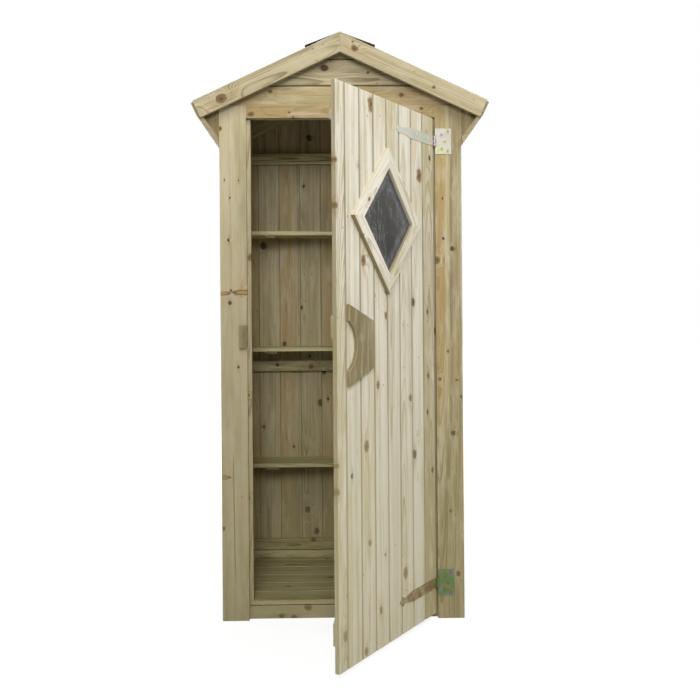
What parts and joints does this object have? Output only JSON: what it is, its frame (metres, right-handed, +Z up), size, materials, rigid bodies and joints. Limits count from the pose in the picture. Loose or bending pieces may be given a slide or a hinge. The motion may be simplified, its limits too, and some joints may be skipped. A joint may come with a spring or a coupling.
{
  "type": "garden storage cabinet",
  "caption": "Narrow timber tool shed with a ridged roof, inner shelves, a boarded door with a diamond window, strap hinges, a wooden handle and a wooden turn button.",
  "frame": {"origin": "on the ground under the middle of the body, on the underside of the middle floor bearer", "axes": "+Z up, +X to the right of someone facing the door, +Y from the front to the back"},
  "size_m": [1.0564, 1.2815, 2.0893],
  "materials": {
    "outer_pine": "sawn and planed treated pine",
    "door_pine": "planed treated pine, paler",
    "inner_pine": "sawn treated pine",
    "bitumen_felt": "bitumen roofing strip",
    "zinc_plate": "yellow passivated zinc",
    "window_sheet": "clear sheet"
  },
  "bodies": {
    "cabinet": {"corner_board_left": "outer_pine", "corner_board_right": "outer_pine", "lintel": "outer_pine", "door_stop_left": "outer_pine", "door_stop_right": "outer_pine", "front_gable": "outer_pine", "sill_board": "outer_pine", "side_wall_left": "outer_pine", "side_wall_right": "outer_pine", "back_wall": "outer_pine", "roof_left": "outer_pine", "roof_right": "outer_pine", "barge_front_left": "outer_pine", "barge_front_right": "outer_pine", "barge_back_left": "outer_pine", "barge_back_right": "outer_pine", "fascia_left": "outer_pine", "fascia_right": "outer_pine", "soffit_left": "outer_pine", "soffit_right": "outer_pine", "eave_infills": "outer_pine", "header": "inner_pine", "floor_bearers": "inner_pine", "floor_boards": "inner_pine", "rafters": "inner_pine", "shelf_battens": "inner_pine", "side_rails": "inner_pine", "back_rails": "inner_pine", "shelf_low_board": "inner_pine", "shelf_mid_board": "inner_pine", "shelf_top_board": "inner_pine", "shelf_cleats": "inner_pine", "ridge_strip": "bitumen_felt", "hinge_plates": "zinc_plate", "hinge_pins": "zinc_plate", "button_screw": "zinc_plate"},
    "door": {"door_boards": "door_pine", "door_ledges": "door_pine", "door_brace": "door_pine", "window_frame": "door_pine", "window_pane": "window_sheet", "door_handle": "outer_pine", "hinge_strap_upper": "zinc_plate", "hinge_strap_lower": "zinc_plate"},
    "button": {"turn_button": "outer_pine"}
  },
  "joints": [
    {"name": "door_hinge", "type": "hinge", "parent": "cabinet", "child": "door", "pos_m": [0.336, -0.336, 0.9], "axis": [0, 0, 1], "range_deg": [-58.3, 56.7]},
    {"name": "button_pivot", "type": "hinge", "parent": "cabinet", "child": "button", "pos_m": [-0.352, -0.344, 1.013], "axis": [0, 1, 0], "range_deg": [-90, 90]}
  ]
}
